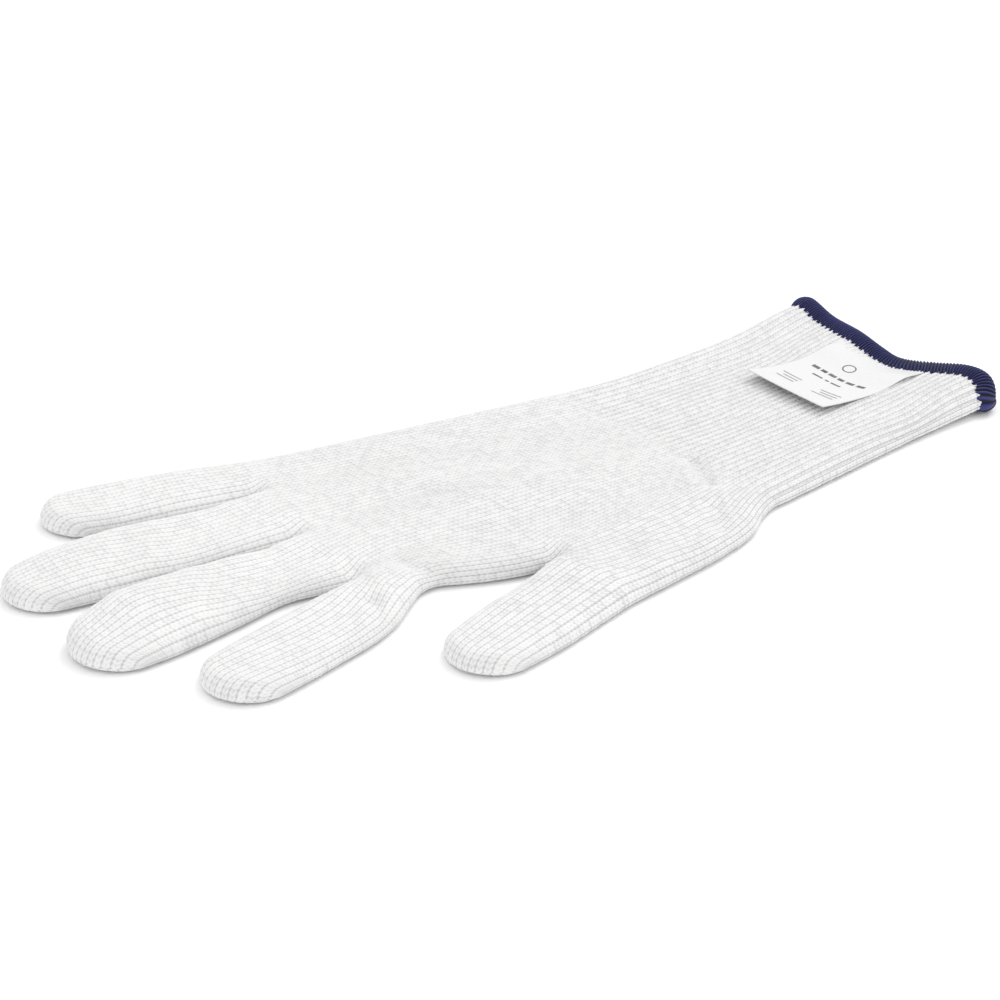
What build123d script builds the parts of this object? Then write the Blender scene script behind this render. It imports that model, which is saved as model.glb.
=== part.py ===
from build123d import *
import math
import os

os.makedirs("parts", exist_ok=True)

# Cut resistant glove, lying flat with the label side up.
# Glove frame while building: X across the hand with the thumb at -X, Y from hem to fingertips,
# Z up from the surface that the glove lies on. At the end every node is moved so that the
# origin is the centre of the bottom of the whole glove.
# The knitted tube is one hollow shell. It is cut into zones where the cloth folds, and each
# fold line is a hinge along the upper face of the cloth.

# Driving dimensions, in millimetres.
THICKNESS = 6.8  # outside height of the relaxed tube, both layers and the air between
WALL = 1.2  # one layer of knit
FOLD_GAP = 0.8  # slot between two zones at a fold line
HINGE_LIFT = 0.3  # height of a fold axis above the upper face
BEVEL_SHARE = 0.6  # bevel along the sides of the tube, as a share of half the height

HEM_Y = 2.0  # outer end of the hem
HEM_LENGTH = 6.5
HEM_LEG = 0.5  # overlock yarn inside and outside the knit edge
HEM_PROUD = 0.8  # how far the overlock stands out of the cuff
HEM_CAP = 0.8  # yarn across the cut edge

WRIST_Y = 90.0
CUFF_LEFT_HEM_X = -41.0
CUFF_LEFT_WRIST_X = -46.0
CUFF_RIGHT_HEM_X = 32.0
CUFF_RIGHT_WAIST_X = 27.5
CUFF_RIGHT_WRIST_X = 30.0
CUFF_OVERRUN = 6.0  # how far the cuff blank runs past its ends before it is trimmed
CUFF_BLANK_ENDS = (HEM_Y - CUFF_OVERRUN, WRIST_Y + CUFF_OVERRUN)

ELASTIC_COUNT = 12
ELASTIC_WIDTH = 0.8
ELASTIC_DEPTH = 0.6
ELASTIC_START_Y = 14.0
ELASTIC_STEP = 6.0

LABEL_CENTER_X = -8.5
LABEL_WIDTH = 27.0
LABEL_THICKNESS = 0.3
LABEL_START_Y = 4.0
LABEL_END_Y = 46.0
LABEL_FLAT_TO_Y = 24.0
LABEL_LIFT = 4.0  # height of the free end above the cuff
LABEL_CLEARANCE = 0.05

# Palm outline: the hull of these circles, each (x, y, radius).
PALM_CIRCLES = [
    (-38.0, 90.0, 8.0),
    (22.0, 90.0, 8.0),
    (41.0, 171.0, 9.0),
    (20.0, 176.0, 9.0),
    (-7.0, 177.0, 9.0),
    (-16.5, 171.0, 9.0),
]

# Thumb gusset outline, a hull that reaches from the thumb into the palm.
GUSSET_CIRCLES = [
    (-50.5, 139.5, 10.3),
    (-44.5, 104.0, 9.5),
    (-31.0, 136.0, 9.0),
    (-34.0, 104.0, 9.0),
]

# The thumb gusset folds along the line from the wrist to the thumb crotch.
GUSSET_FOLD_START = (-46.5, WRIST_Y)
GUSSET_FOLD_END = (-37.0, 148.0)

# Digits: base centre, lean from +Y towards +X, widths, length from base plane to tip,
# shares of the length at which the cloth folds, and the knuckle circle that the digit grows from.
DIGITS = {
    "index": {
        "base": (-26.0, 191.0), "lean": -10.0, "base_width": 20.5, "tip_width": 17.5,
        "length": 50.0, "folds": (0.38, 0.68), "knuckle": (-14.0, 163.0, 7.0),
    },
    "middle": {
        "base": (-3.0, 191.5), "lean": -2.5, "base_width": 23.0, "tip_width": 19.0,
        "length": 65.0, "folds": (0.38, 0.67), "knuckle": (-2.5, 166.0, 7.5),
    },
    "ring": {
        "base": (21.9, 188.0), "lean": 2.0, "base_width": 22.0, "tip_width": 18.5,
        "length": 65.5, "folds": (0.38, 0.67), "knuckle": (20.0, 163.0, 7.5),
    },
    "little": {
        "base": (44.2, 183.5), "lean": 12.5, "base_width": 19.4, "tip_width": 17.0,
        "length": 44.0, "folds": (0.38, 0.67), "knuckle": (37.5, 159.0, 7.0),
    },
    "thumb": {
        "base": (-51.0, 151.5), "lean": -11.0, "base_width": 20.0, "tip_width": 16.5,
        "length": 41.5, "folds": (0.5,), "knuckle": (-46.0, 127.0, 8.0),
    },
}
ZONE_NAMES = {
    2: ["proximal", "tip"],
    3: ["proximal", "middle", "tip"],
}

FAR = 400.0  # longer than the glove, for trimming blocks
BASE_MARGIN = 0.5  # each side of the block that trims a digit's root
TOLERANCE = 0.01  # for telling which plane an edge lies in
MID_Z = THICKNESS / 2
HINGE_Z = THICKNESS + HINGE_LIFT


def pillow(face, thickness):
    """A flat face made into a tube blank: extruded about the middle height, long edges bevelled."""
    bottom = MID_Z - thickness / 2
    blank = extrude(Pos(0, 0, bottom) * face, thickness)
    rims = [edge for edge in blank.edges() if is_level(edge, bottom) or is_level(edge, bottom + thickness)]
    return chamfer(rims, BEVEL_SHARE * thickness / 2)


def is_level(edge, height):
    """True for an edge that lies in the horizontal plane at this height."""
    box = edge.bounding_box()
    return abs(box.min.Z - height) < TOLERANCE and abs(box.max.Z - height) < TOLERANCE


def hull_blank(circles, inset):
    """Tube blank whose outline is the hull of circles, set in from the cloth's outside."""
    rims = []
    for x, y, radius in circles:
        rims += (Pos(x, y) * Circle(radius - inset)).edges()
    return pillow(make_hull(rims), THICKNESS - 2 * inset)


def slab(y_low, y_high):
    """Everything between two planes across the glove."""
    return Pos(0, (y_low + y_high) / 2, 0) * Box(FAR, y_high - y_low, FAR)


def digit_point(digit, distance):
    """Point on a digit's centre line at a distance from its base."""
    lean = math.radians(digit["lean"])
    x, y = digit["base"]
    return (x + distance * math.sin(lean), y + distance * math.cos(lean))


def fold_planes(digit):
    """Y of each fold line of a digit, the base first."""
    shares = (0.0,) + digit["folds"]
    return [digit_point(digit, share * digit["length"])[1] for share in shares]


def digit_circles(digit):
    tip_radius = digit["tip_width"] / 2
    tip = digit_point(digit, digit["length"] - tip_radius)
    return [(*digit["base"], digit["base_width"] / 2), (*tip, tip_radius)]


def root_circles(digit):
    return [(*digit["base"], digit["base_width"] / 2), digit["knuckle"]]


def cuff_outline(offset):
    """Flat outline of the cuff; a positive offset is outside the knit, a negative one inside it."""
    low, high = CUFF_BLANK_ENDS
    left = Line((CUFF_LEFT_WRIST_X - offset, high), (CUFF_LEFT_HEM_X - offset, low))
    mouth = Line((CUFF_LEFT_HEM_X - offset, low), (CUFF_RIGHT_HEM_X + offset, low))
    right = ThreePointArc(
        (CUFF_RIGHT_HEM_X + offset, low),
        (CUFF_RIGHT_WAIST_X + offset, (low + high) / 2),
        (CUFF_RIGHT_WRIST_X + offset, high),
    )
    wrist = Line((CUFF_RIGHT_WRIST_X + offset, high), (CUFF_LEFT_WRIST_X - offset, high))
    return make_face([left, mouth, right, wrist])


def cuff_blank(offset):
    """Cuff tube blank, with its two long sides bevelled and its ends left square."""
    thickness = THICKNESS + 2 * offset
    blank = extrude(Pos(0, 0, MID_Z - thickness / 2) * cuff_outline(offset), thickness)
    sides = [edge for edge in blank.edges() if is_side(edge, CUFF_BLANK_ENDS)]
    return chamfer(sides, BEVEL_SHARE * thickness / 2)


def is_side(edge, ends):
    """True for an edge that runs from one end of the cuff blank to the other."""
    box = edge.bounding_box()
    return abs(box.min.Y - ends[0]) < TOLERANCE and abs(box.max.Y - ends[1]) < TOLERANCE


def thumb_block(shift):
    """Block on the thumb's side of the gusset fold line, moved by shift away from the palm."""
    start = Vector(*GUSSET_FOLD_START)
    along = (Vector(*GUSSET_FOLD_END) - start).normalized()
    outward = Vector(-along.Y, along.X)
    centre = start + outward * (FAR / 2 + shift)
    turn = math.degrees(math.atan2(-along.X, along.Y))
    block = Pos(centre.X, centre.Y, 0) * Rot(0, 0, turn) * Box(FAR, 2 * FAR, FAR)
    return block & slab(0, DIGITS["thumb"]["base"][1] + FOLD_GAP)


def hand_blanks(inset):
    """Overlapping blanks that fill the hand: the palm, the thumb gusset and the roots of the digits."""
    blanks = [hull_blank(PALM_CIRCLES, inset), hull_blank(GUSSET_CIRCLES, inset)]
    for digit in DIGITS.values():
        blanks.append(hull_blank(root_circles(digit), inset))
    return blanks


def beyond_base(digit):
    """Block that holds a digit beyond its base plane, less the fold gap."""
    x, y = digit["base"]
    width = digit["base_width"] + 2 * BASE_MARGIN
    return Pos(x, y - FOLD_GAP / 2 + width / 2, 0) * Box(width, width, FAR)


def make_hand():
    """The hollow hand from the wrist fold to the digits' bases: the palm and the thumb gusset."""
    palm, gusset, *roots = hand_blanks(0)
    hand = palm + gusset
    for digit, root in zip(DIGITS.values(), roots):
        hand += root - beyond_base(digit)
    for hollow in hand_blanks(WALL):
        hand = hand - hollow
    hand = hand & slab(WRIST_Y + FOLD_GAP / 2, FAR)
    return hand - thumb_block(-FOLD_GAP / 2), hand & thumb_block(FOLD_GAP / 2)


def make_digit(name):
    """Zones of one digit, from its base to its closed tip."""
    digit = DIGITS[name]
    circles = digit_circles(digit)
    tube = hull_blank(circles, 0) - hull_blank(circles, WALL)
    planes = fold_planes(digit) + [FAR]
    zones = {}
    for i, zone in enumerate(ZONE_NAMES[len(planes) - 1]):
        low = planes[i] + FOLD_GAP / 2
        high = planes[i + 1] - FOLD_GAP / 2
        zones[f"{name}_{zone}"] = tube & slab(low, high)
    return zones


def make_hem_tongue():
    """The knit edge that the overlock yarn wraps."""
    ring = cuff_blank(-HEM_LEG) - cuff_blank(-WALL + HEM_LEG)
    return ring & slab(HEM_Y + HEM_CAP, HEM_Y + HEM_LENGTH)


def make_elastic():
    """Elastic yarn laid into the rib, loop after loop up the cuff."""
    ring = cuff_blank(-WALL + ELASTIC_DEPTH) - cuff_blank(-WALL)
    loops = []
    for i in range(ELASTIC_COUNT):
        y = ELASTIC_START_Y + i * ELASTIC_STEP
        loops += (ring & slab(y, y + ELASTIC_WIDTH)).solids()
    return Compound(loops)


def make_cuff(elastic):
    cuff = cuff_blank(0) - cuff_blank(-WALL)
    cuff = cuff & slab(HEM_Y + HEM_LENGTH, WRIST_Y - FOLD_GAP / 2)
    cuff += make_hem_tongue()
    return cuff - elastic


def make_label():
    """Woven label: flat from the hem, then rising to its free end."""
    low = THICKNESS + LABEL_CLEARANCE
    under = Line((LABEL_START_Y, low), (LABEL_FLAT_TO_Y, low))
    rise = TangentArc((LABEL_FLAT_TO_Y, low), (LABEL_END_Y, low + LABEL_LIFT), tangent=(1, 0))
    face = trace([under, rise], LABEL_THICKNESS)
    profile = Plane.YZ * Pos(0, LABEL_THICKNESS / 2) * face
    return Pos(LABEL_CENTER_X, 0, 0) * extrude(profile, LABEL_WIDTH / 2, both=True)


def make_hem(label):
    hem = cuff_blank(HEM_PROUD) & slab(HEM_Y, HEM_Y + HEM_LENGTH)
    hem = hem & Pos(0, 0, FAR / 2) * Box(FAR, FAR, FAR)
    return hem - cuff_blank(-WALL) - make_hem_tongue() - label


def make_glove():
    """Every node of the glove in the glove frame."""
    palm, gusset = make_hand()
    elastic = make_elastic()
    label = make_label()
    nodes = {
        "palm_knit": palm,
        "cuff_rib": make_cuff(elastic),
        "hem_overlock": make_hem(label),
        "size_label": label,
        "cuff_elastic": elastic,
        "thumb_gusset": gusset,
    }
    for name in DIGITS:
        nodes.update(make_digit(name))
    return nodes


def centre_shift(nodes):
    """Move that brings the middle of the glove's underside to the origin."""
    boxes = [node.bounding_box() for node in nodes.values()]
    low = [min(box.min.X for box in boxes), min(box.min.Y for box in boxes)]
    high = [max(box.max.X for box in boxes), max(box.max.Y for box in boxes)]
    bottom = min(box.min.Z for box in boxes)
    return (-(low[0] + high[0]) / 2, -(low[1] + high[1]) / 2, -bottom)


def main():
    nodes = make_glove()
    shift = centre_shift(nodes)
    print("glove frame to row frame:", shift)
    for name, node in nodes.items():
        export_step(Pos(*shift) * node, f"parts/{name}.step")


if __name__ == "__main__":
    main()
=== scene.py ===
import math

import bpy
import numpy as np
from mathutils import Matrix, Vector


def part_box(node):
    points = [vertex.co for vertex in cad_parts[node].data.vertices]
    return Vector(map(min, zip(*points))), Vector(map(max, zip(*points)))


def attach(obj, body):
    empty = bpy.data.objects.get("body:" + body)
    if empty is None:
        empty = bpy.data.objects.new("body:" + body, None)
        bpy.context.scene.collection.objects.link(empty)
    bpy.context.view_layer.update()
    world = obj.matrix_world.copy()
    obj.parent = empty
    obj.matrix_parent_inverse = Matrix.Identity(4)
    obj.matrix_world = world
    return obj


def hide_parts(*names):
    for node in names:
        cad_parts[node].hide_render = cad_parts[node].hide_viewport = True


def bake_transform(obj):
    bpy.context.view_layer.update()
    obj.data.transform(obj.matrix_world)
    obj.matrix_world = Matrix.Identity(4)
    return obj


# Cut resistant glove lying flat. Shapes are worked out in millimetres in the glove frame: X across the
# hand with the thumb at -X, Y from hem to fingertips, Z up. to_row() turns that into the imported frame.
# The knit is five strips side by side, one to each digit. Its rows run across and its wales run along.

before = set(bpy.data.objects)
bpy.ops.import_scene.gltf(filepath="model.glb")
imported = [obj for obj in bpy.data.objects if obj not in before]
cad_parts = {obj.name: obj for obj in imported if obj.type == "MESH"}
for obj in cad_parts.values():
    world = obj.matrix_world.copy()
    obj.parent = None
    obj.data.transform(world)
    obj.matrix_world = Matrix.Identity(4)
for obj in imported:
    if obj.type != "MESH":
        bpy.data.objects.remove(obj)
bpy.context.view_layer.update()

MM = 0.001
LABEL_CORNER = (-22.0, 4.0)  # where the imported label's lowest corner lies in the glove frame
ORIGIN = np.array(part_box("size_label")[0]) / MM - np.array([*LABEL_CORNER, 0.0])
ORIGIN[2] = 0.0

# Knit gauge.
COURSE = 1.25
WALES = {"thumb": 14, "index": 14, "middle": 16, "ring": 16, "little": 14}
SAMPLES_PER_WALE = 6
SAMPLES_PER_COURSE = 4
STITCH_HEIGHT = 0.34
UNEVEN = (0.75, 1.15)  # the least and the greatest share of that height from stitch to stitch
LEG_SPLIT = (0.35, 0.28)  # depth and half-width of the dip between a stitch's two legs, in shares
LEG_SLANT = 0.8  # how far a leg leans over, as a share of a course
LEG_SWELL = 0.275  # how much a leg swells and thins along a course, either way
GROOVE_BRIDGE = 0.13  # how much the painted groove shade lightens where a stitch's yarn crosses the groove beside its wale
DIGIT_ROWS = (150.0, 40.0)  # where the digits begin to pull the knit tight, and over how much
DIGIT_SMOOTH = 0.18  # share of the relief that is lost there
DIGIT_SHADE = 0.02  # how much lighter the painted groove shade is there
HEM_GRIP = 3.0  # the hem's yarn presses the stitches flat over this much of the cuff's end
EDGE_FADE = 0.8  # the stitch relief ends this far before a fingertip's closing line

# Tube section, by row: heights of the upper layer, of the edge where the layers meet, and of the
# under layer.
# From an edge each layer is still turning over for the width of its roll.
TOP_HEIGHT = [(0, 6.4), (12, 5.7), (30, 5.1), (85, 4.8), (110, 4.9), (175, 5.1), (260, 5.2)]
EDGE_HEIGHT = [(0, 3.2), (15, 2.5), (40, 1.7), (260, 1.5)]
UNDER_HEIGHT = [(0, 1.8), (8, 1.3), (22, 0.45), (260, 0.45)]
WALL = 1.1
TOP_ROLL = 5.5
UNDER_ROLL = 3.0
ROLL_LIMIT = 0.46  # of the strip's width, where the strip is narrow
TIP_ROLL = 4.5

# Cuff rib: every other wale sinks behind its neighbours.
RIB_END = 84.0
RIB_FADE = 12.0
RIB_DEPTH = 0.34
RIB_CROWN = 0.16
RIB_SHADE = 0.01  # how much darker painted shade makes a sunk wale's stitches
RIB_SHARE = 0.62  # the raised wale's share of a rib's width

# Edge lines between the strips, from the hem up: (row, x, y). A row is numbered by its nominal Y.
THUMB_SIDE = [
    (0, -39.6, 0), (20, -39.7, 20), (40, -40.4, 40), (61, -42.5, 61), (80, -44.4, 80), (88, -45.2, 87.5),
    (95, -48.0, 93.5), (102, -51.9, 99.5), (115, -55.5, 112), (130, -57.6, 126.5), (147.5, -59.6, 143.5),
]
THUMB_INDEX = [
    (0, -26.7, 0), (40, -28.2, 40), (61, -29.8, 61), (88, -31.6, 88), (102, -33.0, 102), (130, -35.2, 130),
    (147.5, -35.5, 147.5),
]
INDEX_MIDDLE = [
    (0, -12.8, 0), (40, -15.2, 40), (61, -16.4, 61), (88, -17.4, 88), (120, -17.2, 120), (150, -15.5, 150),
    (165, -13.3, 165), (176, -12.8, 176), (188.75, -15.0, 188.75),
]
MIDDLE_RING = [
    (0, 3.1, 0), (40, -0.5, 40), (61, -1.2, 61), (88, -1.0, 88), (120, 2.7, 120), (150, 6.2, 150),
    (187.5, 10.0, 187.5),
]
RING_LITTLE = [
    (0, 19.0, 0), (40, 14.1, 40), (61, 13.9, 61), (88, 15.3, 88), (120, 20.5, 120), (150, 26.5, 150),
    (182.5, 34.0, 182.5),
]
LITTLE_SIDE = [
    (0, 32.4, 0), (12, 32.3, 12), (25, 30.9, 25), (42, 29.7, 42), (60, 29.4, 60), (75, 29.8, 75),
    (88, 31.6, 88), (100, 34.0, 100), (120, 37.8, 120), (140, 41.7, 140), (160, 45.7, 160),
    (172, 48.5, 171), (182.5, 51.9, 180),
]
# The index finger's outer edge pinches in above the thumb crotch before it swings out to the finger.
INDEX_PINCH = [
    (153, -34.6, 152.4), (159, -32.9, 158.0), (165, -30.5, 163.6), (170, -28.0, 168.4),
    (174.5, -26.0, 172.6), (179, -26.4, 177.0), (184, -29.2, 181.8), (191, -34.2, 189.2),
]

# Digits: base centre, lean from +Y towards +X in degrees, length, and widths at WIDTH_SHARES of
# that length.
DIGITS = {
    "thumb": {"base": (-49.7, 151.5), "lean": -13.0, "length": 40.8, "widths": (22.8, 23.0, 21.4, 18.4)},
    "index": {"base": (-25.5, 191.0), "lean": -11.5, "length": 48.5, "widths": (21.2, 21.8, 21.6, 19.6)},
    "middle": {"base": (-0.4, 191.5), "lean": -4.0, "length": 62.2, "widths": (20.8, 22.4, 24.0, 20.6)},
    "ring": {"base": (22.2, 188.0), "lean": 5.6, "length": 63.8, "widths": (22.5, 23.4, 22.8, 18.8)},
    "little": {"base": (43.6, 183.5), "lean": 15.5, "length": 44.0, "widths": (20.2, 20.8, 20.4, 17.8)},
}
WIDTH_SHARES = (0.18, 0.42, 0.7, 1.0)
# How far the edge on the little finger's side lies up on its neighbour: (row, height).
PROPPED = {
    "middle": [(195, 0), (218, 2.6), (236, 3.4), (256, 0.6)],
    "ring": [(195, 0), (220, 1.6), (238, 1.4), (252, 0.3)],
}
TIP_ROUNDING = 1.7  # the courses start to bow this many tip half-widths before the tip
CROTCH_BLEND = 7.0  # the cloth starts to turn down between two digits this far before their crotch

# Where each digit's cloth bends, as rows: the last number is where its piece ends and the next begins.
BENDS = {
    "index": [(190, 199, 202.5), (203, 217, 217.5), (218, 232, None)],
    "middle": [(190, 200, 207.5), (208.5, 223.5, 225), (228, 242, None)],
    "ring": [(188.75, 198, 205), (206, 220, 222.5), (225, 239, None)],
    "little": [(183.75, 192, 193.75), (194, 206.5, 206.25), (206.5, 219.5, None)],
    "thumb": [(155, 164, 165), (165.5, 179, None)],
}
ZONE_NAMES = {2: ["proximal", "tip"], 3: ["proximal", "middle", "tip"]}

CUFF_END = 80.0
WRIST_END = 102.5


def smoothstep(x):
    x = np.clip(x, 0.0, 1.0)
    return x * x * (3.0 - 2.0 * x)


def level(knots, at):
    """A value that changes linearly between (row, value) knots."""
    table = np.array(knots, float)
    return np.interp(at, table[:, 0], table[:, 1])


def spline(knots, at):
    """Points of the smooth curve through (row, x, y) knots, at the given rows."""
    table = np.array(knots, float)
    rows, points = table[:, 0], table[:, 1:]
    slopes = np.gradient(points, rows, axis=0)
    i = np.clip(np.searchsorted(rows, at, side="right") - 1, 0, len(rows) - 2)
    span = (rows[i + 1] - rows[i])[..., None]
    s = (at - rows[i])[..., None] / span
    s = np.clip(s, 0.0, None)
    from_start = (1 + 2 * s) * (1 - s) ** 2 * points[i] + s * (1 - s) ** 2 * span * slopes[i]
    from_end = s * s * (3 - 2 * s) * points[i + 1] + s * s * (s - 1) * span * slopes[i + 1]
    return from_start + from_end


def roll_table(steps=200):
    """How a rolled edge, a quarter of an ellipse, turns with the length along the cloth.

    Gives shares of that length, the turn at each, and the whole length over the roll's width."""
    turn = np.linspace(0.0, math.pi / 2, steps)
    height = (TOP_HEIGHT[-1][1] - EDGE_HEIGHT[-1][1]) / TOP_ROLL
    aside, rise = 1 - np.cos(turn), height * np.sin(turn)
    length = np.concatenate([[0.0], np.cumsum(np.hypot(np.diff(aside), np.diff(rise)))])
    return length / length[-1], turn, length[-1]


ROLL_SHARES, ROLL_TURNS, ROLL_STRETCH = roll_table()


def roll_turn(share):
    return np.interp(share, ROLL_SHARES, ROLL_TURNS)


def digit_edge(name, side):
    """Knots of one edge of a digit past its base: side is -1 for the left edge and 1 for the right."""
    digit = DIGITS[name]
    lean = math.radians(digit["lean"])
    along = np.array([math.sin(lean), math.cos(lean)])
    across = np.array([math.cos(lean), -math.sin(lean)])
    start = digit["base"][1]
    knots = []
    for share, width in zip(WIDTH_SHARES, digit["widths"]):
        distance = share * digit["length"]
        x, y = np.array(digit["base"]) + along * distance + across * width / 2 * side
        knots.append((start + distance, x, y))
    return knots


class Edge:
    """One edge line of a strip: shared with its neighbour up to the crotch, its own above it."""

    def __init__(self, shared, own, outline):
        self.shared = shared
        self.own = [shared[-1]] + own
        self.crotch = shared[-1][0]
        self.outline = outline

    def at(self, row):
        row = np.asarray(row, float)
        below = spline(self.shared, np.minimum(row, self.crotch))
        above = spline(self.own, np.maximum(row, self.crotch))
        return np.where((row <= self.crotch)[..., None], below, above)

    def drop(self, row):
        """0 where the cloth runs on into the next strip, 1 where it turns down to the other layer."""
        if self.outline:
            return np.ones_like(row)
        return smoothstep((row - (self.crotch - CROTCH_BLEND)) / CROTCH_BLEND)


def make_edges():
    """The left and the right edge line of each strip."""
    lines = [THUMB_SIDE, THUMB_INDEX, INDEX_MIDDLE, MIDDLE_RING, RING_LITTLE, LITTLE_SIDE]
    last = len(lines) - 2
    edges = {}
    for k, name in enumerate(WALES):
        pinch = INDEX_PINCH if name == "index" else []
        left = Edge(lines[k], pinch + digit_edge(name, -1), k == 0)
        right = Edge(lines[k + 1], digit_edge(name, 1), k == last)
        edges[name] = (left, right)
    return edges


EDGES = make_edges()

# The hem waves: how far its end lies beyond the first row, and how far the upper layer lifts, by X.
HEM_WAVE = [
    (-43, 9.5), (-36, 4.0), (-28, 3.8), (-21, 7.6), (-14, 11.4), (-5, 10.8), (6, 8.8), (20, 5.9), (34, 2.2),
]
HEM_LIFT = [
    (-44, 0.0), (-32, 1.2), (-22, 0.2), (-10, -0.3), (4, 0.6), (18, 0.0), (28, 0.8), (34, 0.4),
]
HEM_WAVE_START = 4.0
HEM_WAVE_END = 45.0

# Folds in the upper layer: start and end of the ridge line, its height (negative for a crease), width.
FOLDS = [
    ((-38.0, 196.0), (-27.5, 191.5), -0.8, 1.9),
    ((-27.5, 191.5), (-10.0, 184.5), -0.4, 2.0),
    ((-36.0, 190.0), (-20.0, 184.0), 0.5, 3.4),
    ((-26.0, 173.0), (-17.0, 176.0), -0.9, 2.2),
    ((-50.0, 108.0), (-41.0, 102.0), -0.9, 2.6),
    ((-31.0, 95.0), (-21.0, 90.0), -1.2, 1.9),
    ((-29.0, 99.0), (-20.0, 94.0), 0.6, 2.2),
    ((-12.0, 214.0), (6.0, 207.0), 0.35, 3.4),
    ((-11.0, 226.0), (5.0, 218.0), 0.3, 3.2),
    ((-8.0, 201.0), (8.0, 196.0), -0.3, 3.0),
    ((17.0, 222.0), (29.0, 212.0), 0.35, 3.2),
    ((18.0, 230.0), (27.0, 222.0), -0.2, 3.0),
    ((-20.0, 120.0), (20.0, 150.0), 0.5, 9.0),
    ((0.0, 100.0), (30.0, 165.0), -0.4, 7.0),
    ((-55.0, 130.0), (-40.0, 120.0), 0.5, 5.0),
]

# How far the wales lean over between the edges of a strip, as a share of its width: (row, share).
WALE_DRIFT = {
    "thumb": [(0, 0), (14, 0.05), (32, -0.04), (52, 0.04), (92, 0), (118, -0.06), (150, 0.06), (190, 0)],
    "index": [
        (0, 0), (20, -0.04), (38, 0.03), (60, -0.04), (80, 0), (168, 0), (184, 0.1), (200, -0.08), (238, 0),
    ],
    "middle": [(0, 0), (55, 0.03), (70, -0.04), (84, 0), (186, 0), (206, -0.13), (232, 0.14), (253, 0)],
    "ring": [
        (0, 0), (24, 0.04), (45, -0.03), (66, 0.03), (84, 0), (188, 0), (208, -0.08), (232, 0.08), (250, 0),
    ],
    "little": [(180, 0), (196, 0.05), (212, -0.04), (226, 0)],
}


def wave(knots, x):
    """A smooth wave through (x, value) knots."""
    table = np.array(knots, float)
    rows = [(a, b, 0.0) for a, b in table]
    return spline(rows, np.clip(x, table[0, 0], table[-1, 0]))[..., 0]


def hem_share(row):
    """1 at the hem, where the cuff's end waves, and 0 where that has died out."""
    return 1 - smoothstep((row - HEM_WAVE_START) / (HEM_WAVE_END - HEM_WAVE_START))


def fold_height(x, y):
    """Height that the folds add to the upper layer."""
    total = np.zeros_like(x)
    for (x0, y0), (x1, y1), height, width in FOLDS:
        length = math.hypot(x1 - x0, y1 - y0)
        ux, uy = (x1 - x0) / length, (y1 - y0) / length
        along = (x - x0) * ux + (y - y0) * uy
        aside = (y - y0) * ux - (x - x0) * uy
        beyond = along - np.clip(along, 0.0, length)
        total += height * np.exp(-(aside**2 + beyond**2) / width**2)
    return total


def tip_row(name):
    return DIGITS[name]["base"][1] + DIGITS[name]["length"]


def last_sample(name):
    """The row number at which a digit's two layers meet, counting along the cloth."""
    return tip_row(name) + TIP_ROLL * (ROLL_STRETCH - 1)


def rib_share(row):
    """1 in the ribbed cuff, 0 in the plain knit of the hand."""
    return 1 - smoothstep((row - RIB_END) / RIB_FADE)


def wale_places(name, wale, row):
    """Where the wales lie across a strip, as shares of its cloth. A rib's raised wale takes more of it."""
    raised = 0.5 + (RIB_SHARE - 0.5) * rib_share(row)[:, None]
    pair = np.floor(np.minimum(wale, WALES[name] - 1e-6) / 2)[None, :]
    inside = wale[None, :] - 2 * pair
    spread = np.where(inside < 1, inside * 2 * raised, 2 * raised + (inside - 1) * 2 * (1 - raised))
    share = (2 * pair + spread) / WALES[name]
    return share + wave(WALE_DRIFT[name], row)[:, None] * np.sin(math.pi * share)


def rolled_edge(distance, bend, roll, fall):
    """How far inwards and how high, as a share, the cloth is at a distance along it from one edge.

    bend is the length of cloth that turns over, roll the width it takes, and fall 1 where it turns down."""
    share = np.clip(distance / bend, 0.0, 1.0)
    turn = roll_turn(share)
    inward = roll * ((1 - fall) * share + fall * (1 - np.cos(turn)))
    return inward, 1 - fall * (1 - np.sin(turn))


def section(name, wale, row, side, inset):
    """The wales' places across each row, as shares of the strip's width, and the layer's rise there."""
    left, right = EDGES[name]
    fall = [left.drop(row)[:, None], right.drop(row)[:, None]]
    width = np.linalg.norm(right.at(row) - left.at(row), axis=1)[:, None]
    trim = [inset * fall[0], inset * fall[1]]
    inner = width - trim[0] - trim[1]
    roll = np.minimum((TOP_ROLL if side > 0 else UNDER_ROLL) - inset, ROLL_LIMIT * inner)
    bend = [roll * (1 + f * (ROLL_STRETCH - 1)) for f in fall]
    total = bend[0] + bend[1] + inner - 2 * roll
    s = total * wale_places(name, wale, row)
    x0, rise0 = rolled_edge(s, bend[0], roll, fall[0])
    x1, rise1 = rolled_edge(total - s, bend[1], roll, fall[1])
    middle = np.where(total - s < bend[1], inner - x1, roll + s - bend[0])
    x = np.where(s < bend[0], x0, middle) + trim[0]
    return x / width, rise0 * rise1


def bowed_rows(name, row, ratio):
    """Towards the tip the courses bow, so that the finger ends in an arc."""
    aside = np.clip(2 * ratio - 1, -1.0, 1.0)
    round_over = TIP_ROUNDING * DIGITS[name]["widths"][-1] / 2
    bow_start = tip_row(name) - round_over
    bow = 1 - (1 - np.sqrt(1 - aside**2)) / TIP_ROUNDING
    at = row[:, None] + np.zeros_like(ratio)
    return np.where(at > bow_start, bow_start + (at - bow_start) * bow, at)


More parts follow.
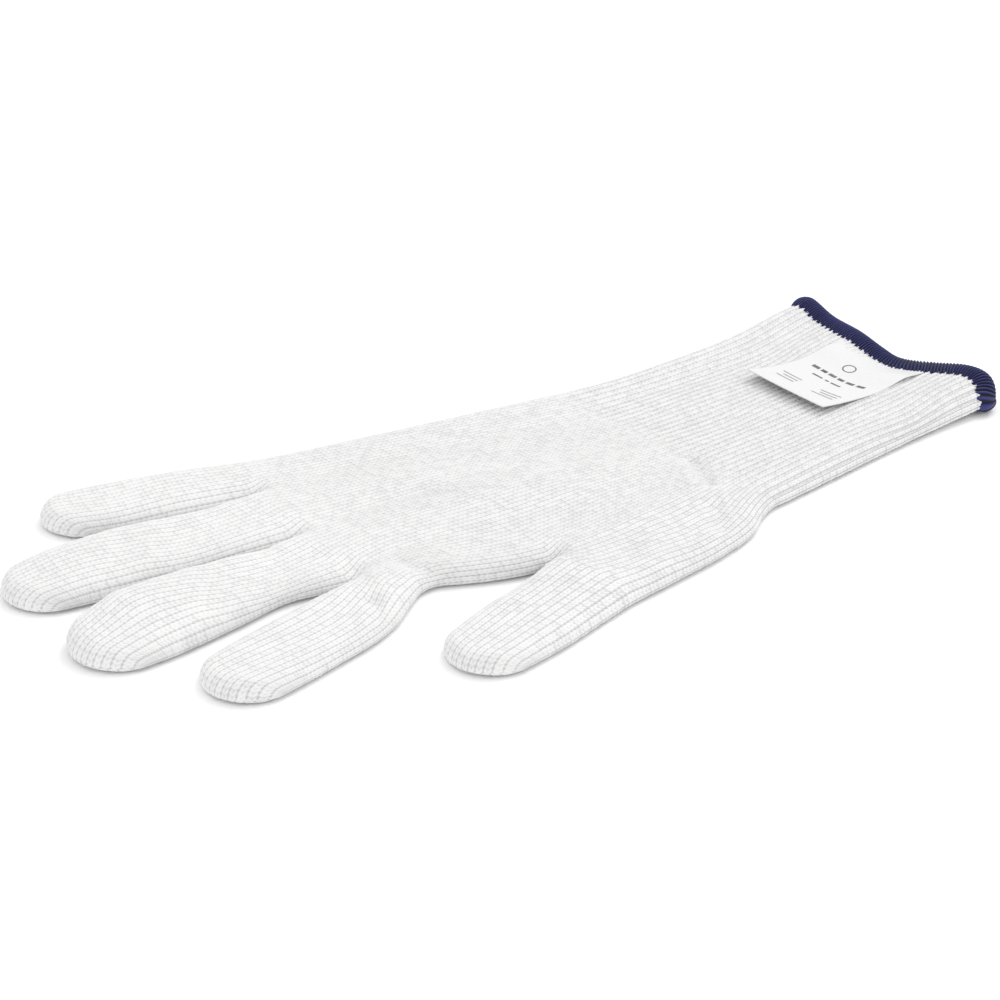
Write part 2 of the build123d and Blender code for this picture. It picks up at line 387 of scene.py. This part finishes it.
def surface(name, wale, row, side, inset=0.0):
    """Smooth surface of a strip: an array of points, rows by wales. side is 1 on top, -1 underneath."""
    left, right = EDGES[name]
    turn = roll_turn(np.clip((last_sample(name) - row) / (TIP_ROLL * ROLL_STRETCH), 0.0, 1.0))
    v = np.where(turn < ROLL_TURNS[-1], tip_row(name) - TIP_ROLL * (1 - np.cos(turn)), row)
    ratio, rise = section(name, wale, v, side, inset)
    rise = rise * np.sin(turn)[:, None]
    at = bowed_rows(name, v, ratio)
    a, b = left.at(at), right.at(at)
    plan = a + (b - a) * ratio[..., None]

    px, py = plan[..., 0], plan[..., 1]
    near_hem = hem_share(v)[:, None]
    edge = level(EDGE_HEIGHT, v)[:, None]
    layer = level(TOP_HEIGHT if side > 0 else UNDER_HEIGHT, v)[:, None] - side * inset
    z = edge + (layer - edge) * rise
    if side > 0:
        z = z + rise * (fold_height(px, py) + near_hem**2 * wave(HEM_LIFT, px))
    if name in PROPPED:
        z = z + level(PROPPED[name], v)[:, None] * smoothstep(ratio)
    py = py + near_hem * wave(HEM_WAVE, px)
    return np.stack([px, py, z], axis=-1)


def stitch_relief(name, wale, row):
    """Height of the stitches over the smooth surface, and a painted shade value that is low where the
    colour is darkened.

    The height is 0 on every line between two wales of a strip."""
    courses = (row / COURSE).astype(int)
    columns = np.minimum(wale, WALES[name] - 1).astype(int)
    rng = np.random.default_rng(WALES[name] + len(name))
    uneven = rng.uniform(*UNEVEN, (courses[-1] + 1, WALES[name]))[np.ix_(courses, columns)]
    across = np.abs(2 * (wale % 1.0) - 1)[None, :]
    leg = 1 - across**4 - LEG_SPLIT[0] * np.exp(-((across / LEG_SPLIT[1]) ** 2))
    turn = 2 * math.pi * (row[:, None] / COURSE + LEG_SLANT * across)
    stitch = STITCH_HEIGHT * uneven * leg * (1 - LEG_SWELL + LEG_SWELL * np.cos(turn))
    inside = (wale % 2.0)[None, :]
    raised = np.where(inside < 1, np.sin(math.pi * inside), 0.0)
    sunk = np.where(inside < 1, 0.0, 0.5 - 0.5 * np.cos(2 * math.pi * (inside - 1)))
    rib = rib_share(row)[:, None]
    relief = stitch + rib * (RIB_CROWN * raised - RIB_DEPTH * sunk)
    loops = GROOVE_BRIDGE * uneven * across**6 * (0.5 - 0.5 * np.cos(turn))
    tight = smoothstep((row - DIGIT_ROWS[0]) / DIGIT_ROWS[1])[:, None]
    relief = relief * smoothstep(row / HEM_GRIP)[:, None] * (1 - DIGIT_SMOOTH * tight)
    # Painted shade: darker where the stitches are low and on sunk rib wales, lighter where loops bridge a
    # groove and on the digits.
    return relief, stitch + loops - rib * RIB_SHADE * sunk + DIGIT_SHADE * tight


def outward(points, side):
    """Unit normals of a grid of points, away from the inside of the tube."""
    along = np.gradient(points, axis=0)
    across = np.gradient(points, axis=1)
    n = np.cross(across, along) * side
    return n / np.maximum(np.linalg.norm(n, axis=-1, keepdims=True), 1e-9)


def knit_grid(name):
    """The whole strip's stitched surface: wales, rows, points on top and underneath, and stitch relief."""
    wale = np.arange(WALES[name] * SAMPLES_PER_WALE + 1) / SAMPLES_PER_WALE
    end = last_sample(name)
    step = COURSE / SAMPLES_PER_COURSE
    row = np.append(np.arange(0.0, end - step / 2, step), end)
    relief, shade = stitch_relief(name, wale, row)
    fade = smoothstep((end - row) / EDGE_FADE)[:, None]
    layers = []
    for side in (1, -1):
        base = surface(name, wale, row, side)
        layers.append(base + outward(base, side) * (relief * fade)[..., None])
    return {"wale": wale, "row": row, "top": layers[0], "under": layers[1], "shade": shade}


def to_row(points):
    return (np.asarray(points, float) + ORIGIN) * MM


def new_mesh(name, points, faces, uv=None, shade=None):
    """A smooth-shaded mesh object from arrays of points, quads, corner UVs and a value for each point."""
    used, faces = np.unique(faces, return_inverse=True)
    faces = faces.reshape(-1, 4)
    mesh = bpy.data.meshes.new(name)
    mesh.vertices.add(len(used))
    mesh.vertices.foreach_set("co", to_row(points[used]).astype(np.float32).ravel())
    mesh.loops.add(faces.size)
    mesh.loops.foreach_set("vertex_index", faces.astype(np.int32).ravel())
    mesh.polygons.add(len(faces))
    mesh.polygons.foreach_set("loop_start", np.arange(0, faces.size, 4, dtype=np.int32))
    if uv is not None:
        layer = mesh.uv_layers.new(name="Knit")
        layer.data.foreach_set("uv", uv[used][faces.ravel()].astype(np.float32).ravel())
    if shade is not None:
        # The 'relief' attribute holds the painted shade value that darkens the yarn materials' colour.
        attribute = mesh.attributes.new("relief", "FLOAT", "POINT")
        attribute.data.foreach_set("value", shade[used].astype(np.float32))
    mesh.update(calc_edges=True)
    mesh.validate()
    mesh.polygons.foreach_set("use_smooth", np.ones(len(faces), bool))
    piece = bpy.data.objects.new(name, mesh)
    bpy.context.scene.collection.objects.link(piece)
    return piece


def grid_faces(index):
    """Quads of a grid of vertex numbers, rows by columns."""
    corners = [index[:-1, :-1], index[:-1, 1:], index[1:, 1:], index[1:, :-1]]
    return np.stack(corners, axis=-1).reshape(-1, 4)


GRIDS = {name: knit_grid(name) for name in WALES}
ROW_SLACK = 0.01  # so that a piece keeps the rows at both of its ends
TOUCHING = 1e-6


def knit_piece(name, strips, first, last):
    """The part of some neighbouring strips between two rows, both layers, joined where they meet."""
    columns = {"top": [], "under": [], "shade": []}
    wales = []
    start = 0.0
    for k, strip in enumerate(strips):
        grid = GRIDS[strip]
        keep = (grid["row"] > first - ROW_SLACK) & (grid["row"] < (last or math.inf) + ROW_SLACK)
        skip = 1 if k else 0  # the first column is the last one of the strip before
        for layer in columns:
            columns[layer].append(grid[layer][keep][:, skip:])
        wales.append(grid["wale"][skip:] + start)
        start += WALES[strip]
        row = grid["row"][keep]
    top, under, shade = (np.concatenate(parts, axis=1) for parts in columns.values())
    wale = np.concatenate(wales)
    count = shade.size
    above = np.arange(count).reshape(shade.shape)
    meet = np.linalg.norm(top - under, axis=-1) < TOUCHING
    below = np.where(meet, above, above + count)
    faces = np.concatenate([grid_faces(above), grid_faces(below)[:, ::-1]])
    uv = np.stack(np.broadcast_arrays(wale[None, :], row[:, None] / COURSE), axis=-1).reshape(-1, 2)
    return new_mesh(
        name,
        np.concatenate([top.reshape(-1, 3), under.reshape(-1, 3)]),
        faces,
        np.concatenate([uv, uv]),
        np.concatenate([shade.ravel(), shade.ravel()]),
    )


# ---------------------------------------------------------------- materials

def new_material(name):
    material = bpy.data.materials.new(name)
    material.use_nodes = True
    nodes = material.node_tree.nodes
    nodes.clear()
    output = nodes.new("ShaderNodeOutputMaterial")
    shader = nodes.new("ShaderNodeBsdfPrincipled")
    material.node_tree.links.new(shader.outputs["BSDF"], output.inputs["Surface"])
    return material, nodes, material.node_tree.links, shader


def noise(nodes, links, coordinates, scale, detail, stretch=(1, 1, 1)):
    """A noise texture over the given coordinates."""
    mapping = nodes.new("ShaderNodeMapping")
    mapping.inputs["Scale"].default_value = stretch
    links.new(coordinates, mapping.inputs["Vector"])
    texture = nodes.new("ShaderNodeTexNoise")
    texture.inputs["Scale"].default_value = scale
    texture.inputs["Detail"].default_value = detail
    links.new(mapping.outputs["Vector"], texture.inputs["Vector"])
    return texture.outputs["Fac"]


def ramp(nodes, links, source, low, high, low_colour, high_colour):
    """Colours between two values of source."""
    node = nodes.new("ShaderNodeValToRGB")
    node.color_ramp.elements[0].position = low
    node.color_ramp.elements[0].color = (*low_colour, 1)
    node.color_ramp.elements[1].position = high
    node.color_ramp.elements[1].color = (*high_colour, 1)
    links.new(source, node.inputs["Fac"])
    return node.outputs["Color"]


def multiply(nodes, links, first, second):
    node = nodes.new("ShaderNodeMix")
    node.data_type = "RGBA"
    node.blend_type = "MULTIPLY"
    node.inputs["Factor"].default_value = 1.0
    links.new(first, node.inputs["A"])
    links.new(second, node.inputs["B"])
    return node.outputs["Result"]


def roughen(nodes, links, shader, source, gloss, strength, depth):
    """Roughness from one value to another, and bumps of a depth in millimetres, both driven by source."""
    rough = nodes.new("ShaderNodeMapRange")
    rough.inputs["To Min"].default_value = gloss[0]
    rough.inputs["To Max"].default_value = gloss[1]
    links.new(source, rough.inputs["Value"])
    links.new(rough.outputs["Result"], shader.inputs["Roughness"])
    bump = nodes.new("ShaderNodeBump")
    bump.inputs["Strength"].default_value = strength
    bump.inputs["Distance"].default_value = depth * MM
    links.new(source, bump.inputs["Height"])
    links.new(bump.outputs["Normal"], shader.inputs["Normal"])


GLOSS_SPREAD = 0.08


def yarn_material(name, colour, painted_shade_colour, roughness, fibre=0.12, strength=0.25):
    """Knitted or sewn yarn: darker between the stitches where shade is painted into its colour, with fibres
    that run along the yarn.
    """
    material, nodes, links, shader = new_material(name)
    place = nodes.new("ShaderNodeTexCoord").outputs["UV"]
    relief = nodes.new("ShaderNodeAttribute")
    relief.attribute_name = "relief"
    # Painted shade: low relief values give the painted shade colour, high ones the yarn's own colour.
    painted_groove_shade = ramp(nodes, links, relief.outputs["Fac"], 0.0, 0.22, painted_shade_colour, colour)
    patches = noise(nodes, links, place, 0.12, 2.0)
    tone = ramp(nodes, links, patches, 0.3, 0.7, (0.965, 0.965, 0.965), (1, 1, 1))
    strands = noise(nodes, links, place, 3.0, 3.0, (3.0, 1.2, 1.0))
    tint = ramp(nodes, links, strands, 0.3, 0.7, (0.94, 0.94, 0.94), (1, 1, 1))
    shaded = multiply(nodes, links, painted_groove_shade, tone)
    links.new(multiply(nodes, links, shaded, tint), shader.inputs["Base Color"])
    gloss = (roughness - GLOSS_SPREAD, roughness + GLOSS_SPREAD)
    roughen(nodes, links, shader, strands, gloss, strength, fibre)
    shader.inputs["Specular IOR Level"].default_value = 0.3
    shader.inputs["Sheen Weight"].default_value = 0.15
    shader.inputs["Sheen Roughness"].default_value = 0.5
    return material


# The second colour is painted shade in the knit's and the hem's grooves; the elastic's relief is 0
# everywhere, so it shows that colour throughout.
KNIT = yarn_material("knit_yarn", (0.84, 0.84, 0.835), (0.40, 0.40, 0.41), 0.78)
NAVY = yarn_material("hem_yarn", (0.035, 0.038, 0.17), (0.005, 0.006, 0.03), 0.76, 0.2, 0.5)
ELASTIC = yarn_material("elastic_yarn", (0.75, 0.75, 0.74), (0.6, 0.6, 0.6), 0.6)


def satin_material():
    material, nodes, links, shader = new_material("label_satin")
    place = nodes.new("ShaderNodeTexCoord").outputs["UV"]
    threads = noise(nodes, links, place, 40.0, 2.0, (8.0, 0.6, 1.0))
    white = ramp(nodes, links, threads, 0.3, 0.7, (0.68, 0.68, 0.68), (0.76, 0.76, 0.76))
    links.new(white, shader.inputs["Base Color"])
    roughen(nodes, links, shader, threads, (0.38, 0.52), 0.2, 0.05)
    return material


def ink_material():
    material, nodes, links, shader = new_material("label_ink")
    place = nodes.new("ShaderNodeTexCoord").outputs["UV"]
    wear = noise(nodes, links, place, 30.0, 2.0)
    grey = ramp(nodes, links, wear, 0.3, 0.7, (0.06, 0.06, 0.07), (0.2, 0.2, 0.21))
    links.new(grey, shader.inputs["Base Color"])
    shader.inputs["Roughness"].default_value = 0.7
    return material


SATIN = satin_material()
INK = ink_material()


def dress(piece, material):
    piece.data.materials.append(material)
    return piece


# ---------------------------------------------------------------- knit pieces

def point(x, y, z=0.0):
    return Vector(to_row([x, y, z]))


def row_line(strip, row):
    """Middle of a strip's row and the direction along the strip, square to the row."""
    a, b = (edge.at(np.array([float(row)]))[0] for edge in EDGES[strip])
    across = (b - a) / np.linalg.norm(b - a)
    return (a + b) / 2, np.array([-across[1], across[0]])


def blend_rows(piece, strip, first):
    """Finds the middle and the direction of a strip's row, which nothing uses, and bakes the piece's
    transform.
    """
    start, along = row_line(strip, first)
    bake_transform(piece)


def make_cuff():
    parts = {
        "cuff_thumb_side": ["thumb", "index"],
        "cuff_centre": ["middle"],
        "cuff_little_side": ["ring", "little"],
    }
    for name, strips in parts.items():
        piece = dress(knit_piece(name, strips, 0.0, CUFF_END), KNIT)
        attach(piece, "cuff")
        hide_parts("cuff_rib")
    wrist = dress(knit_piece("wrist_knit", list(WALES), CUFF_END, WRIST_END), KNIT)
    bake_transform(wrist)


def make_palm():
    for finger in ("index", "middle", "ring", "little"):
        shell = knit_piece(f"palm_{finger}", [finger], WRIST_END, BENDS[finger][0][0])
        piece = dress(shell, KNIT)
        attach(piece, "palm")
        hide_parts("palm_knit")
    shell = knit_piece("thumb_heel", ["thumb"], WRIST_END, BENDS["thumb"][0][0])
    gusset = dress(shell, KNIT)
    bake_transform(gusset)
    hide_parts("thumb_gusset")


def make_digits():
    for digit, bends in BENDS.items():
        before = "thumb_gusset" if digit == "thumb" else "palm"
        start = bends[0][0]
        for zone, (first, last, end) in zip(ZONE_NAMES[len(bends)], bends):
            body = f"{digit}_{zone}"
            piece = dress(knit_piece(f"{body}_knit", [digit], start, end), KNIT)
            blend_rows(piece, digit, first)
            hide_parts(body)
            before, start = body, end


# ---------------------------------------------------------------- cuff details

def ring(row, per_wale, inset):
    """Closed loops round the cuff, one to each row: over the top from the thumb side, back underneath."""
    loops = []
    for side in (1, -1):
        parts = []
        for strip, wales in WALES.items():
            wale = np.arange(wales * per_wale) / per_wale
            parts.append(surface(strip, wale, row, side, inset))
        end = surface("little", np.array([float(WALES["little"])]), row, side, inset)
        loop = np.concatenate(parts + [end], axis=1)
        loops.append(loop if side > 0 else loop[:, ::-1])
    return np.concatenate([loops[0][:, :-1], loops[1][:, :-1]], axis=1)


CORD_UV = 4.0  # points to one unit of a cord's UV map


def closed_tube(name, rings, material, relief):
    """A surface through rings of points, rings by points, closed both ways."""
    index = np.arange(rings[..., 0].size).reshape(rings.shape[:2])
    index = np.concatenate([index, index[:1]])
    index = np.concatenate([index, index[:, :1]], axis=1)
    u, v = np.meshgrid(np.arange(rings.shape[1]) / CORD_UV, np.arange(rings.shape[0]) / CORD_UV)
    uv = np.stack([u, v], axis=-1).reshape(-1, 2)
    piece = new_mesh(name, rings.reshape(-1, 3), grid_faces(index), uv, relief.ravel())
    return dress(piece, material)


def directions(loop):
    """Unit vectors along a closed line round the cuff, and square to both it and the cuff's length."""
    tangent = np.roll(loop, -1, axis=0) - np.roll(loop, 1, axis=0)
    tangent /= np.linalg.norm(tangent, axis=1, keepdims=True)
    side = np.cross(tangent, np.array([0.0, 1.0, 0.0]))
    side /= np.linalg.norm(side, axis=1, keepdims=True)
    return tangent, side


def evenly_spaced(loop):
    """As many points on the same closed line, at equal distances along it."""
    closed = np.concatenate([loop, loop[:1]])
    steps = np.linalg.norm(np.diff(closed, axis=0), axis=1)
    length = np.concatenate([[0.0], np.cumsum(steps)])
    even = np.linspace(0, length[-1], len(loop), endpoint=False)
    return np.stack([np.interp(even, length, closed[:, k]) for k in range(3)], axis=-1)


HEM_ROW = 2.0
HEM_REACH = 2.9  # half the hem's length along the cuff
HEM_PROUD = 1.9  # half its thickness
HEM_THIN = 0.35  # how much of that it loses on the side towards the hand
HEM_SAMPLES = 13  # points to each wale
HEM_SIDES = 32  # points round the hem
HEM_WRAPS_PER_WALE = 1.2
HEM_RIDGE = 0.32
HEM_TOOTH = 0.9
TOOTH_SHARES = (0.2, 1.0)  # the shortest and the longest tooth
HEM_UNEVEN = 0.3  # of one wrap's width, how far a wrap may stray along the edge
STRAY_SHARES = (0.3, 1.0)
STRAY_WAVES = 37  # how often round the hem the wraps stray to the other side
HEM_SEED = 7
# Scales the wraps' height into the painted shade value: the hem yarn is darker between the wraps.
HEM_SHADE = 0.5


def wrap_pattern(count, angle):
    """How high the wraps stand, 0 to 1, round the hem and along it, and how long the tooth of each is."""
    turns = round(count / HEM_SAMPLES * HEM_WRAPS_PER_WALE)
    phase = 2 * math.pi * turns * np.arange(count) / count
    number = (phase / (2 * math.pi)).astype(int)
    rng = np.random.default_rng(HEM_SEED)
    lengths = rng.uniform(*TOOTH_SHARES, turns + 1)[number]
    amount = rng.uniform(*STRAY_SHARES, turns + 1)[number]
    stray = HEM_UNEVEN * math.pi * np.sin(phase / 2 / turns * STRAY_WAVES) * amount
    wrap = 0.5 + 0.5 * np.cos(phase[None, :] + stray[None, :] * np.sin(2 * angle))
    return wrap, lengths


def make_hem():
    """Overlock yarn whipped round the cuff's cut edge, each wrap a ridge that ends in a tooth."""
    middle = evenly_spaced(ring(np.array([HEM_ROW]), HEM_SAMPLES, WALL / 2)[0])
    tangent, side = directions(middle)
    out = -side
    hand = np.cross(out, tangent)
    hand *= np.sign(hand[:, 1:2])
    angle = np.linspace(0, 2 * math.pi, HEM_SIDES, endpoint=False)[:, None]
    wrap, lengths = wrap_pattern(len(middle), angle)
    towards_hand = np.clip(np.cos(angle), 0, 1)
    reach = HEM_REACH + HEM_TOOTH * lengths * wrap * towards_hand**2
    proud = (HEM_PROUD + HEM_RIDGE * (wrap - 0.5) * 2) * (1 - HEM_THIN * towards_hand**3)
    rings = (
        middle[None]
        + (reach * np.cos(angle))[..., None] * hand[None]
        + (proud * np.sin(angle))[..., None] * out[None]
    )
    # Painted shade: the hem yarn's colour is darker between the wraps.
    piece = closed_tube("hem_wraps", rings, NAVY, (wrap - 0.5) * HEM_SHADE)
    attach(piece, "cuff")
    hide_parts("hem_overlock")


LINING_ROWS = np.arange(1.0, 72.0, 0.6)
LINING_SAMPLES = 4
LINING_RIBS = (0.25, 0.3)  # how far a raised wale sinks inside, and how far a sunk one stands out
LINING_FADE = 24  # points over which the ribs fade in from the thumb side
# Scales the lining's ribs into the painted shade value: the lining is darker except where its ribs stand
# out.
LINING_SHADE = 0.5


def make_lining():
    """Inside face of the cuff."""
    loop = ring(LINING_ROWS, LINING_SAMPLES, WALL)
    total = loop.shape[1]
    place = np.arange(total)
    wale = place / LINING_SAMPLES
    inside = wale % 2
    raised = -LINING_RIBS[0] * np.sin(math.pi * inside)
    rib = np.where(inside < 1, raised, LINING_RIBS[1] * np.sin(math.pi * (inside - 1)))
    inward = np.where(place < total // 2, 1.0, -1.0)
    fade = smoothstep(np.minimum(place, total - place) / LINING_FADE)
    loop[..., 2] -= (rib * inward * fade)[None, :]
    index = np.arange(loop[..., 0].size).reshape(loop.shape[:2])
    index = np.concatenate([index, index[:, :1]], axis=1)
    faces = grid_faces(index)[:, ::-1]
    # Painted shade: the lining takes the knit's darker colour except where its ribs stand out.
    relief = np.broadcast_to(rib[None, :], loop.shape[:2]).ravel() * LINING_SHADE
    uv = np.stack(np.broadcast_arrays(wale[None, :], LINING_ROWS[:, None] / COURSE), axis=-1)
    piece = new_mesh("cuff_lining", loop.reshape(-1, 3), faces, uv.reshape(-1, 2), relief)
    dress(piece, KNIT)
    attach(piece, "cuff")


ELASTIC_ROWS = np.arange(14.0, 81.0, 6.0)
ELASTIC_RADIUS = 0.3
ELASTIC_SAMPLES = 2  # points to each wale
ELASTIC_SIDES = 8


def make_elastic():
    """Elastic yarn laid in round the inside of the cuff."""
    first = None
    along = np.array([0.0, 1.0, 0.0])
    angle = np.linspace(0, 2 * math.pi, ELASTIC_SIDES, endpoint=False)[:, None, None]
    for k, row in enumerate(ELASTIC_ROWS):
        middle = ring(np.array([row]), ELASTIC_SAMPLES, WALL + ELASTIC_RADIUS)[0]
        side = directions(middle)[1]
        rings = middle[None] + ELASTIC_RADIUS * (np.cos(angle) * along + np.sin(angle) * side[None])
        relief = np.zeros(rings.shape[:2])
        piece = closed_tube(f"elastic_loop_{k + 1:02d}", rings, ELASTIC, relief)
        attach(piece, "cuff")
        first = first or piece
    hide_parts("cuff_elastic")


LABEL_LEFT = -21.8
LABEL_WIDTH = 27.0
LABEL_LENGTH = 42.0
LABEL_END = 48.7
LABEL_START = 0.8  # its sewn end lies this far inside the wavy end of the cuff
LABEL_BOW = 1.0
LABEL_THICKNESS = 0.25
LABEL_GRID = (55, 85)  # points across it and along it
LABEL_CLEAR = 0.45  # its face above the crowns of the ribs
LABEL_LIFT = 2.2  # its free end rises this much, over its last half
LIFT_BEND = 1.7
BUCKLE_HEIGHT = 0.9  # a soft buckle across it, near the hem
BUCKLE_PLACE = 0.28
BUCKLE_WIDTH = 0.12


def label_surface(s, t):
    """Points on the label's face: s across from the thumb side, t from the hem to the free end, 0 to 1."""
    x = LABEL_LEFT + LABEL_WIDTH * s
    sewn = LABEL_START + wave(HEM_WAVE, x)
    y = sewn + (LABEL_END - LABEL_BOW * (s - 0.5) ** 2 - sewn) * t
    z = level(TOP_HEIGHT, y) + RIB_CROWN + LABEL_CLEAR + hem_share(y) ** 2 * wave(HEM_LIFT, x)
    buckle = np.exp(-(((t - BUCKLE_PLACE) / BUCKLE_WIDTH) ** 2))
    z = z + BUCKLE_HEIGHT * buckle * (0.7 + 0.3 * np.cos(5 * s))
    z = z + LABEL_LIFT * np.clip((t - 0.5) / 0.5, 0, 1) ** LIFT_BEND * (0.85 + 0.25 * s)
    return np.stack([x, y, z], axis=-1)


def make_label():
    """A thin woven label, sewn in under the hem, with its other end free."""
    across, along = np.meshgrid(np.linspace(0, 1, LABEL_GRID[0]), np.linspace(0, 1, LABEL_GRID[1]))
    top = label_surface(across, along)
    n = outward(top, 1)
    top_index = np.arange(across.size).reshape(across.shape)
    low_index = top_index + across.size
    faces = [grid_faces(top_index), grid_faces(low_index)[:, ::-1]]
    rims = (
        (top_index[:, 0], low_index[:, 0]), (low_index[:, -1], top_index[:, -1]),
        (low_index[0], top_index[0]), (top_index[-1], low_index[-1]),
    )
    for a, b in rims:
        faces.append(np.stack([a[:-1], a[1:], b[1:], b[:-1]], axis=-1))
    points = np.concatenate([top.reshape(-1, 3), (top - n * LABEL_THICKNESS).reshape(-1, 3)])
    uv = np.stack([across, along], axis=-1).reshape(-1, 2)
    label = new_mesh("label_cloth", points, np.concatenate(faces), np.concatenate([uv, uv]))
    dress(label, SATIN)
    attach(label, "cuff")
    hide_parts("size_label")
    return label


# Dashes on the label: place along it, height in millimetres, and each dash from side to side.
PRINT_ROWS = [
    (0.50, 1.3, [(0.14, 0.22), (0.25, 0.34), (0.37, 0.45), (0.48, 0.58), (0.61, 0.69), (0.72, 0.82)]),
    (0.60, 0.7, [(0.3, 0.42), (0.45, 0.5), (0.54, 0.68)]),
    (0.76, 0.35, [(0.1, 0.34), (0.6, 0.86)]),
    (0.80, 0.35, [(0.1, 0.3), (0.6, 0.8)]),
    (0.84, 0.35, [(0.1, 0.36), (0.6, 0.84)]),
]
INK_LIFT = 0.03
DASH_GRID = (5, 3)  # points along a dash and across it
RING_PLACE = (0.52, 0.36)
RING_RADII = (1.7, 2.1)
RING_POINTS = 49


def dash_grids():
    """The places on the label, across it and along it, that each dash covers."""
    grids = []
    for low, height, dashes in PRINT_ROWS:
        high = low + height / LABEL_LENGTH
        for start, end in dashes:
            across = np.linspace(start, end, DASH_GRID[0])
            grids.append(np.meshgrid(across, np.linspace(low, high, DASH_GRID[1])))
    return grids


def ring_grid():
    """The places on the label that the ring covers."""
    angle = np.linspace(0, 2 * math.pi, RING_POINTS)
    radius = np.array(RING_RADII)[:, None]
    s = RING_PLACE[0] + radius * np.cos(angle) / LABEL_WIDTH
    t = RING_PLACE[1] + radius * np.sin(angle) / LABEL_LENGTH
    return s, t


def make_print():
    """Plain dashes and a ring on the label, in the places where a maker prints. They spell nothing."""
    points, faces, uvs, count = [], [], [], 0
    for s, t in dash_grids():
        face = label_surface(s, t)
        points.append((face + outward(face, 1) * INK_LIFT).reshape(-1, 3))
        faces.append(grid_faces(np.arange(s.size).reshape(s.shape) + count))
        uvs.append(np.stack([s, t], axis=-1).reshape(-1, 2))
        count += s.size
    s, t = ring_grid()
    points.append((label_surface(s, t) + np.array([0, 0, INK_LIFT])).reshape(-1, 3))
    faces.append(grid_faces(np.arange(s.size).reshape(s.shape) + count)[:, ::-1])
    uvs.append(np.stack([s, t], axis=-1).reshape(-1, 2))
    ink = new_mesh("label_print", np.concatenate(points), np.concatenate(faces), np.concatenate(uvs))
    dress(ink, INK)
    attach(ink, "cuff")
    return ink


# ---------------------------------------------------------------- stage

FLOOR_HALF = 3.0  # metres


def make_stage():
    mesh = bpy.data.meshes.new("floor")
    corners = [(x * FLOOR_HALF, y * FLOOR_HALF, 0) for x, y in ((-1, -1), (1, -1), (1, 1), (-1, 1))]
    mesh.from_pydata(corners, [], [(0, 1, 2, 3)])
    floor = bpy.data.objects.new("floor", mesh)
    bpy.context.scene.collection.objects.link(floor)
    material, nodes, links, shader = new_material("floor_white")
    place = nodes.new("ShaderNodeTexCoord").outputs["Object"]
    grain = noise(nodes, links, place, 3.0, 2.0)
    white = ramp(nodes, links, grain, 0.2, 0.8, (0.97, 0.97, 0.97), (1, 1, 1))
    links.new(white, shader.inputs["Base Color"])
    shader.inputs["Roughness"].default_value = 0.95
    shader.inputs["Specular IOR Level"].default_value = 0.0
    mesh.materials.append(material)


def add_area(name, place, size, power):
    light = bpy.data.lights.new(name, "AREA")
    light.shape = "DISK"
    light.size = size
    light.energy = power
    lamp = bpy.data.objects.new(name, light)
    lamp.location = place
    lamp.rotation_euler = (-Vector(place)).to_track_quat("-Z", "Y").to_euler()
    bpy.context.scene.collection.objects.link(lamp)


# The camera aims at a point in the glove frame, from a distance in millimetres.
CAMERA_AIM = (0.0, 133.4, 0.0)
CAMERA_AZIMUTH = 231.2
CAMERA_ELEVATION = 27.0
CAMERA_DISTANCE = 713.3
CAMERA_LENS = 108.0
CAMERA_SENSOR = 36.0


def make_camera():
    azimuth, elevation = math.radians(CAMERA_AZIMUTH), math.radians(CAMERA_ELEVATION)
    back = Vector((
        math.sin(azimuth) * math.cos(elevation),
        -math.cos(azimuth) * math.cos(elevation),
        math.sin(elevation),
    ))
    data = bpy.data.cameras.new("camera")
    data.sensor_width = CAMERA_SENSOR
    data.lens = CAMERA_LENS
    data.dof.use_dof = False
    data.clip_start = 0.01
    camera = bpy.data.objects.new("camera", data)
    camera.location = point(*CAMERA_AIM) + back * CAMERA_DISTANCE * MM
    camera.rotation_euler = (-back).to_track_quat("-Z", "Y").to_euler()
    bpy.context.scene.collection.objects.link(camera)
    bpy.context.scene.camera = camera


WORLD_STRENGTH = 1.02
# Name, place in metres, width in metres and power in watts.
LAMPS = [
    ("key", (0.1, -0.9, 1.1), 0.9, 6.0),
    ("fill", (-0.8, 0.6, 1.0), 1.0, 1.0),
]


def make_light():
    world = bpy.data.worlds.new("studio")
    world.use_nodes = True
    background = world.node_tree.nodes["Background"]
    background.inputs["Color"].default_value = (1, 1, 1, 1)
    background.inputs["Strength"].default_value = WORLD_STRENGTH
    bpy.context.scene.world = world
    for lamp in LAMPS:
        add_area(*lamp)
    bpy.context.scene.view_settings.view_transform = "Standard"


make_camera()
make_stage()
make_light()
make_cuff()
make_palm()
make_digits()
make_hem()
make_lining()
make_elastic()
label = make_label()
ink = make_print()
